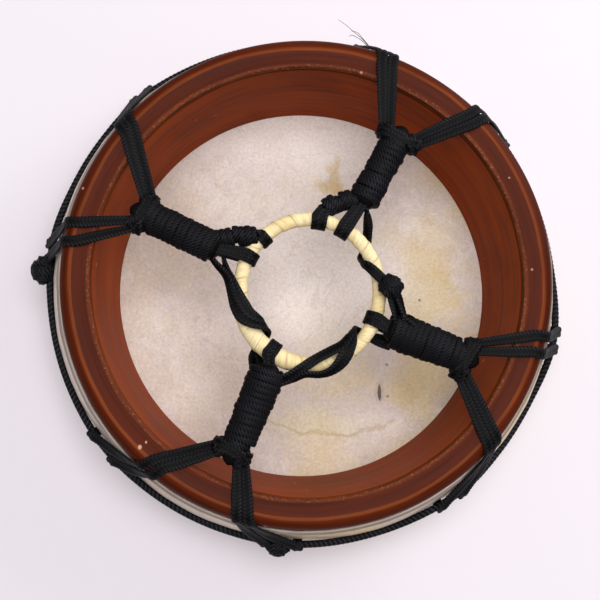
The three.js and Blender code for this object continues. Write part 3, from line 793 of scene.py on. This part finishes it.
def on_rope(degrees):
    """The rope's point, direction and way out at an angle round the drum"""
    i = int(np.argmin(np.abs((rope_angles - degrees + 180) % 360 - 180)))
    after = rope_line[(i + 2) % len(rope_line)]
    before = rope_line[i - 2]
    return rope_line[i], unit(after - before), polar(1, degrees, 0)


def knot(centre, axis, out, half_long, half_thick, seed):
    """A knot: turns round the cord, then two that cross them on a slant"""
    centre = np.array(centre, float)
    across = unit(np.cross(axis, out))
    r = half_thick - 0.8
    reach = half_long * 0.75
    parts = [blob(centre, axis, half_long * 0.95, half_thick * 0.85)]
    turns = max(2, round(reach * 2 / 2.3))
    radii = [r * share for share in (0.65, 0.95, 0.95, 0.65)]
    parts.append(coil(centre - axis * reach, centre + axis * reach, radii, turns, 2.7, 1.6, seed, 0.15))
    for k, tilt in enumerate((0.9, -0.8)):
        way = unit(axis + tilt * across)
        half = way * reach * 0.5
        parts.append(coil(centre - half, centre + half, [r * 0.85, r * 1.12, r * 0.85], 1.7, 2.9, 1.6,
                          seed=seed + k + 1, uneven=0.12, phase=0.35 * k))
    return parts


rope_faces = [unit((p[0], p[1], 0)) for p in rope_points]
rope_parts = [strand(rope_points, rope_faces, closed=True, wide=3.5, thick=3.1, stitch=2.2, relief=0.36,
                     twist=True, boxy=0.9)]
for degrees, half_long, half_thick, seed in ((177, 7.2, 5.5, 3), (-96.2, 6.2, 3.9, 8)):
    at, way, out = on_rope(degrees)
    rope_parts += knot(at + out * half_thick * 0.55, way, out, half_long, half_thick, seed)
build_cord("girth_cord", rope_parts, "girth_rope")

# %% [markdown]
# ## Spokes
# Four spokes hold the ring. Each gathers two legs of two flat strands in a close whipping, and ends
# in loops round the ring. The values are those of the frame: the ends of each whipping, the root of
# each leg at the fork, its places on the rim and on the girth cord, the way of the bound spur that
# some have, and the angle and width of each loop.

# %% The spokes' measures
LACE_LEVEL = 60.95
RING_LEVEL = 60.3
RING_CENTRE = np.array((0.4, -5.8))
RING_HALF = np.array((30.9, 32.3))
RING_MEAN = 31.0
RING_TUBE = 3.2
OVERLAP_AT, OVERLAP_HALF, OVERLAP_HIGH = 225, 55, 1.05

spokes = {
    "northwest": dict(
        outer=(-71, 27.1), inner=(-41.8, 13.2), radii=[7.3, 7.15, 7.1, 7.0, 7.3, 7.2],
        legs=[dict(root=(-70.5, 33.5), rim=140.3, rope=(128.5, 132.5), pitch=5.0),
              dict(root=(-76.5, 23.8), rim=168.9, rope=(171.0, 174.5), pitch=8.6)],
        spur=[(-41, 16.5), (-33, 18.3), (-22.5, 18.6)],
        loops=[(132.8, 4.6), (152, 5.4)]),
    "northeast": dict(
        outer=(38.3, 60.9), inner=(24.1, 34.6), radii=[7.2, 6.9, 6.6, 6.7, 7.0, 7.2],
        legs=[dict(root=(35, 67), rim=70.1, rope=(73.5, 77.5), pitch=5.0),
              dict(root=(46.5, 61), rim=44.6, rope=(36.0, 40.0), pitch=5.0)],
        spur=[(20.5, 35.5), (13.5, 34.3), (7.0, 31.0)],
        loops=[(82.2, 6.4), (60.2, 6.2)]),
    "southeast": dict(
        outer=(66.6, -33.7), inner=(36.3, -22.6), radii=[7.3, 7.5, 7.9, 8.2, 8.4, 7.9],
        legs=[dict(root=(72.5, -30.5), rim=-15.9, rope=(-14.3, -10.3), pitch=7.6),
              dict(root=(66.8, -41.2), rim=-40.9, rope=(-59.0, -53.5), pitch=5.0)],
        spur=[], loops=[(-22.8, 5.8)]),
    "southwest": dict(
        outer=(-30.9, -72.9), inner=(-17.7, -40.4), radii=[7.2, 7.2, 7.5, 7.8, 8.3, 8.3],
        legs=[dict(root=(-38.5, -73.5), rim=-128.9, rope=(-144.5, -137.5), pitch=5.5),
              dict(root=(-29.5, -79), rim=-106, rope=(-99.0, -92.0), pitch=5.0)],
        spur=[], loops=[(-123.8, 5.6)]),
}


def swell(degrees):
    """How much thicker the ring is where the ends of its strip overlap"""
    gap = abs((degrees - OVERLAP_AT + 180) % 360 - 180) / OVERLAP_HALF
    return OVERLAP_HIGH * math.cos(gap * math.pi / 2) if gap < 1 else 0.0


def ring_way(degrees):
    """The way straight out of the ring at an angle round it"""
    a = math.radians(degrees)
    return np.array((*unit((math.cos(a), math.sin(a)) / RING_HALF), 0.0))


def ring_point(degrees, out=0.0, up=0.0):
    """A point beside the ring's middle line, so far outside it and so far above it"""
    a = math.radians(degrees)
    at = RING_CENTRE + RING_HALF * (math.cos(a), math.sin(a)) + out * ring_way(degrees)[:2]
    return np.array((*at, RING_LEVEL + up))


# %% Legs
LACE_WIDE = 4.9
LACE_THICK = 1.35
HOOK_RADIUS = 2.5


def leg_strands(leg, seed):
    """Two strands that run from a root over the rim and its shoulder, down to the girth cord and round it"""
    parts = []
    root = np.array((*leg["root"], LACE_LEVEL))
    for i in (0, 1):
        place = i - 0.5
        rim_angle = leg["rim"] + math.degrees(place * leg["pitch"] / SHOULDER)
        rope_angle = leg["rope"][i]
        wave = noise.noise(Vector((seed * 1.7, i * 2.3, leg["rim"])))
        lift = 0.15 * i + 0.25 * abs(wave)
        rim_top = polar(SHOULDER, rim_angle, LACE_LEVEL + lift)
        across = unit(np.cross((0, 0, 1.0), rim_top - root))
        start = root + across * place * 3.4 + (0, 0, 0.5 * i)
        tilt = across * (0.16 * (1 - 2 * i) + 0.1 * wave)
        rows = [(start + unit(start - rim_top) * 2.5, tilt * 2 + (0, 0, 1), 3.6),
                (start * 0.67 + rim_top * 0.33, tilt + (0, 0, 1), 4.4),
                (start * 0.33 + rim_top * 0.67, tilt * 0.6 + (0, 0, 1), LACE_WIDE)]
        off = GAP + 0.5 * LACE_THICK + 0.15 + lift
        for bend, reach in ((0, 0.0), (30, 0.05), (60, 0.12), (90, 0.2)):
            turn = math.radians(90 - bend)
            angle = rim_angle + (rope_angle - rim_angle) * reach
            radius = SHOULDER + (SHOULDER_WIDE + off) * math.cos(turn)
            at = polar(radius, angle, WALL_TOP + (SHOULDER_HIGH + off) * math.sin(turn))
            rows.append((at, polar(math.cos(turn), angle, math.sin(turn)), LACE_WIDE))
        past_lip = hoop_outer(LIP) + GAP + HIDE + 0.9 + 0.5 * LACE_THICK + lift
        at = polar(past_lip, rim_angle + (rope_angle - rim_angle) * 0.48, LIP + 0.6)
        rows.append((at, polar(1, rim_angle, 0.9), LACE_WIDE + 0.6))
        on_cord = on_rope(rope_angle)[0]
        for swing in (60, 0, -60, -120, -170):
            t = math.radians(swing)
            radius = math.hypot(on_cord[0], on_cord[1]) + HOOK_RADIUS * math.cos(t)
            at = polar(radius, rope_angle, on_cord[2] + HOOK_RADIUS * math.sin(t))
            rows.append((at, polar(math.cos(t), rope_angle, math.sin(t)), 5.0 if swing > 0 else 4.4))
        controls, faces, wide = zip(*rows)
        parts.append(strand(controls, faces, wide=wide, thick=LACE_THICK, stitch=1.6, relief=0.26))
    return parts


def fork_wraps(spoke, outer, along, seed):
    """A collar of turns round the root of each leg, and two smooth turns that cross between the collars"""
    roots = [np.array((*leg["root"], LACE_LEVEL)) for leg in spoke["legs"]]
    middle = (roots[0] + roots[1]) / 2
    centre = (outer + middle) / 2
    parts = [blob(centre, along, 7.5, 5.0)]
    ways = []
    for n, leg in enumerate(spoke["legs"]):
        towards = unit(polar(SHOULDER, leg["rim"], LACE_LEVEL) - roots[n])
        ways.append(towards)
        parts.append(blob(roots[n] - towards * 0.8, towards, 5.0, 3.6))
        ends = roots[n] - towards * 3.2, roots[n] + towards * 2.7
        parts.append(coil(*ends, [3.9, 3.75, 3.7, 3.3], 3, 2.5, 1.5, seed + n, 0.16, phase=0.3 * n))
    side = unit(roots[1] - roots[0])
    a, b = roots[0] - ways[0] * 1.2, roots[1] - ways[1] * 1.2
    for shift, slant, high in ((-0.4, 0.8, 5.4), (1.6, -1.6, 4.8)):
        top = centre + along * shift
        a1, b1 = a - along * slant, b + along * slant
        controls = [a1 - side * 4.4 - (0, 0, 1.5), a1 - side * 1.8 + (0, 0, 3.9),
                    top - side * 1.5 + (0, 0, high), top + side * 1.5 + (0, 0, high),
                    b1 + side * 1.8 + (0, 0, 3.9), b1 + side * 4.4 - (0, 0, 1.5)]
        faces = [-side] + [side * share + (0, 0, 1) for share in (-0.6, -0.1, 0.1, 0.6)] + [side]
        parts.append(strand(controls, faces, wide=3.6, thick=1.8, stitch=1.6, relief=0.12))
    return parts


def ring_loop(degrees, wide, heel):
    """A band from the heel of the spoke over the ring, round its inner side and back below it"""
    reach = RING_TUBE + 0.85 + swell(degrees)
    parts = []
    count = 2 if wide > 5 else 1
    each = wide / count + 0.15
    for i in range(count):
        angle = degrees + math.degrees((i - (count - 1) / 2) * each / RING_MEAN)
        shift = ring_point(angle) - ring_point(degrees)
        rows = [(heel + shift * 0.6 + (0, 0, 3.2), (0, 0, 1))]
        for swing in (70, 100, 140, 180, 220, 260, 290):
            t = math.radians(swing)
            face = ring_way(angle) * math.cos(t) + (0, 0, math.sin(t))
            rows.append((ring_point(angle, reach * math.cos(t), reach * math.sin(t)), face))
        rows.append((heel + shift * 0.6 - (0, 0, 3.2), (0, 0, -1)))
        controls, faces = zip(*rows)
        parts.append(strand(controls, faces, wide=each + 0.3, thick=1.1, relief=0.14))
    return parts


FRAYS = {
    "northeast": [[(29.3, 113.2, 42), (26, 117.7, 40), (22.6, 121, 39), (18.8, 124.4, 39), (15, 126.6, 40)],
                  [(29.0, 113.4, 41), (25.4, 116.6, 41), (21.4, 118.2, 42), (19.9, 117.2, 43)],
                  [(29.3, 113.4, 42), (26.8, 118.4, 38), (24.6, 121.4, 37), (21.6, 122.2, 37)]],
    "northwest": [[(-83.5, 21.4, 60), (-85.2, 22.6, 57), (-86.6, 22.0, 55), (-87.6, 22.9, 54)],
                  [(-83.8, 21.0, 59), (-85.0, 21.4, 56), (-86.2, 20.8, 55)]],
}


def fray(points):
    """A thread end that has come loose from the cord"""
    faces = [(0.3, 0.2, 1)] * len(points)
    return strand(points, faces, wide=[0.34, 0.26, 0.2, 0.16, 0.12][: len(points)], thick=0.2, relief=0.02)


def build_spoke(name, spoke, seed):
    outer = np.array((*spoke["outer"], LACE_LEVEL))
    inner = np.array((*spoke["inner"], LACE_LEVEL))
    along = unit(outer - inner)
    heel = inner - along
    parts = fork_wraps(spoke, outer, along, seed)
    for leg in spoke["legs"]:
        parts += leg_strands(leg, seed)
    parts.append(blob(inner + along * 0.5, along, 4.2, 5.6))
    ends = [heel] * len(spoke["loops"])
    if spoke["spur"]:
        way = [np.array((x, y, LACE_LEVEL + 0.4)) for x, y in spoke["spur"]]
        for k, (p, q) in enumerate(zip(way, way[1:])):
            reach = np.linalg.norm(q - p)
            turns = round(reach / 2.4)
            parts.append(coil(p, q, [3.9, 3.8, 3.6], turns, 2.9, 1.5, seed + 9 + k, 0.3, lean=0.9))
            parts.append(blob((p + q) / 2, q - p, reach / 2 + 1.5, 3.5))
        ends[0] = way[-1]
    for (angle, wide), end in zip(spoke["loops"], ends):
        parts += ring_loop(angle, wide, end)
    parts += [fray(points) for points in FRAYS.get(name, [])]
    build_cord("strands_" + name, parts, "lacing_" + name)
    length = np.linalg.norm(outer - inner)
    turns = round(length / 2.5)
    radii = [r - 0.85 for r in spoke["radii"]]
    cover = [coil(outer, inner, radii, turns, 2.85, 1.8, seed + 20, 0.42, lean=0.45, stitch=1.5),
             blob((outer + inner) / 2, along, length / 2 + 1, min(radii) - 0.2)]
    build_cord("whipping_cord_" + name, cover, "whipping_" + name)


for number, (name, spoke) in enumerate(spokes.items()):
    build_spoke(name, spoke, 11 + 13 * number)

# %% [markdown]
# ## Grip ring
# The ring is bound with a flat strip of pale hide, wound on a slant. Each turn lies on the edge of
# the one before, so the surface steps down once a turn. The ends overlap at the lower left.

# %% Grip ring
RING_TURNS = 27
bpy.ops.mesh.primitive_torus_add(
    major_radius=RING_MEAN * MM, minor_radius=RING_TUBE * MM, major_segments=720, minor_segments=32)
ring = bpy.context.active_object
ring.name = "ring_binding"
points = coordinates(ring) / MM
wound = np.zeros((len(points), 2))
for i, p in enumerate(points):
    degrees = math.degrees(math.atan2(p[1], p[0]))
    turn = math.atan2(p[2], math.hypot(p[0], p[1]) - RING_MEAN)
    wound[i] = degrees / 360 * RING_TURNS, turn / (2 * math.pi)
    step = sum(wound[i]) % 1
    edge = 0.34 * step**2 + 0.05 * math.sin(degrees * 0.9) + 0.12 * noise.noise(Vector(p) * 0.35)
    size = RING_TUBE - 0.2 + edge + swell(degrees)
    points[i] = ring_point(degrees, size * math.cos(turn), size * math.sin(turn))
move_points(ring, points * MM)
bpy.ops.object.shade_smooth_by_angle(angle=math.radians(50))
corners = np.zeros(len(ring.data.loops), int)
ring.data.loops.foreach_get("vertex_index", corners)
wound = wound[corners].reshape(-1, 4, 2)
for k, whole in enumerate((RING_TURNS, 1)):
    part = wound[..., k]
    part += whole * (part < part.max(1, keepdims=True) - whole / 2)
wound[..., 0] += wound[..., 1]
ring.data.uv_layers.new(name="strip").data.foreach_set("uv", wound.astype(np.float32).ravel())


def make_strip():
    material, tree, shader, place = new_material("pale hide strip")
    strip_map = add(tree, "UVMap", uv_map="strip").outputs[0]
    share = math_node(tree, "FRACT", carried(tree, "strip"))
    fibre_place = vector_node(tree, "MULTIPLY", strip_map, (16.0, 2.5, 1.0))
    fibre = noise_at(tree, fibre_place, 1.0, 4.0, 0.6)
    patch = blotch(tree, place, 70.0, 0.4, 0.7)
    colour = mix(tree, patch, srgb(240, 221, 174), srgb(230, 206, 148))
    lines = ramp(tree, fibre, [(0.3, 0.72), (0.5, 0.98), (0.7, 1.12)])
    colour = mix(tree, 1.0, colour, lines, "MULTIPLY")
    lap = ramp(tree, share, [(0.0, 1.0), (0.05, 0.8), (0.11, 0.0), (0.95, 0.0), (1.0, 1.0)])
    broken = remap(tree, noise_at(tree, place, 160.0), 0.35, 0.6)
    colour = tint(tree, colour, times(tree, lap, broken), 0.6, (160, 124, 70))
    dress(tree, shader, colour, 0.62, fibre, 0.5, 0.0003, 0.25)
    return material


put_on(ring, make_strip(), "grip_ring")

# %% [markdown]
# ## Cords from spoke to spoke
# Two strands twist over the ring from the left spoke to the bottom one, two more from there to the
# right one, and a single strand comes from behind the ring to a knot beside the right spoke, where
# three short ends go under the turns.

# %% Cross cords
WEST = [
    [(160.5, 16, 0.6, 4.0), (164, 12.4, 2, 4.2), (169, 7.4, 3.4, 4.2), (174.2, 5.0, 5.4, 4.4),
     (184.5, 2.9, 6.0, 5.2), (192.2, 2.2, 6.3, 5.6), (201.2, 0.8, 6.3, 5.6), (208.2, -2.0, 6.4, 4.8),
     (215, -5.4, 4.2, 4.0), (221, -6.6, -0.5, 3.4), (225, -2.6, -6.4, 3.4), (227, 3.2, -6.4, 3.8),
     (232.5, 4.6, -5.6, 4.8), (238.8, 8.8, -3.0, 5.0)],
    [(155.5, 11.5, 0.2, 4.4), (160.8, 9.2, 1.2, 4.4), (168, 6.0, 3.2, 4.2), (174.2, 3.4, 6.2, 4.4),
     (184.5, 0.6, 7.0, 5.2), (192.2, -1.2, 6.9, 5.6), (200.2, -2.8, 6.7, 5.4), (206.2, -5.0, 5.6, 4.6),
     (212, -6.8, 1.8, 4.0), (218, -5.4, -4.4, 3.4), (222.5, -1.0, -6.9, 3.4), (225.5, 1.6, -6.6, 3.8),
     (228.6, 6.5, -5.0, 4.8), (233.8, 10.6, -2.4, 5.0)],
]
SOUTH = [
    [(244.5, 9.6, 3.2, 4.8), (250, 8.6, 4.2, 4.8), (256, 6.0, 4.8, 4.8), (263.8, 1.8, 5.8, 4.6),
     (275.8, -2.4, 6.2, 4.6), (290.5, -4.2, 6.2, 5.0), (302, -4.4, 5.8, 5.0), (313.8, -5.6, 4.4, 4.4),
     (321, -6.2, -0.4, 3.4), (324, -3.2, -6.0, 3.4), (326.5, 3.4, -6.2, 4.0), (329, 8.8, -4.2, 4.8),
     (331.5, 13.5, -3, 5.0)],
    [(246, 13.2, 0.4, 5.0), (252, 11.0, 1.2, 4.4), (258, 8.0, 1.6, 3.8), (266, 4.6, 3.6, 3.8),
     (276.8, 4.7, 4.2, 4.0), (285, 4.1, 5.0, 4.8), (293.5, 2.0, 6.2, 6.0), (300.8, -0.6, 6.8, 6.4),
     (309.5, -3.2, 6.4, 5.4), (318, -5.8, 3.4, 4.0), (322, -5.2, -4.0, 3.4), (324.5, 0.4, -6.9, 3.6),
     (326, 7.4, -5.4, 4.6), (327.5, 12.4, -4, 5.0)],
]
EAST = [
    [(58.5, 15.5, 0.2, 6.0), (53.3, 11.6, 0.2, 6.6), (49.6, 9.2, -1.2, 5.8), (46, 6.8, -3.6, 4.8),
     (42.2, 4.2, -5.3, 4.6), (36.2, 0.6, -5.8, 4.2), (32, -3.4, -4.6, 4.0), (27.5, -4.9, -0.4, 4.2),
     (21.2, -3.4, 4.9, 4.6), (11.8, -0.4, 6.0, 4.8), (5.2, 2.3, 6.8, 4.8), (2, 4.4, 7.1, 4.6)],
    [(2, 3.0, 6.6, 4.4), (356, 4.6, 6.6, 5.2), (350, 6.2, 6.0, 5.6), (343.5, 8.4, 5.2, 5.6),
     (338, 10.5, 3.8, 5.2)],
    [(2, 5.0, 6.2, 4.4), (356.5, 7.4, 5.8, 5.0), (350.8, 9.4, 5.0, 5.2), (344, 12.0, 5.4, 5.4),
     (338, 15.0, 5.4, 5.2)],
    [(346, 7.6, 2.4, 5.0), (345.5, 11.0, 5.4, 5.2), (343.5, 15.5, 6.6, 5.2), (340, 20.5, 6.0, 5.0)],
]


def flat_strand(stations, thick=1.4):
    """A strand through stations: the angle round the ring, the ways out and up from it, and the width"""
    controls = [ring_point(*s[:3]) for s in stations]
    faces = [unit(ring_way(s[0]) * s[1] + (0, 0, s[2])) for s in stations]
    return strand(controls, faces, wide=[s[3] for s in stations], thick=thick, stitch=1.6, relief=0.2)


build_cord("cross_strands_west", [flat_strand(s) for s in WEST], "cross_cord_west")
build_cord("cross_strands_south", [flat_strand(s) for s in SOUTH], "cross_cord_south")
single = [flat_strand(s, 1.8 if n else 1.6) for n, s in enumerate(EAST)]
single += knot(ring_point(2.6, 4.3, 6.6), ring_way(60), np.array((0, 0, 1.0)), 5.6, 5.4, 41)
build_cord("cross_strand_east", single, "cross_cord_east")
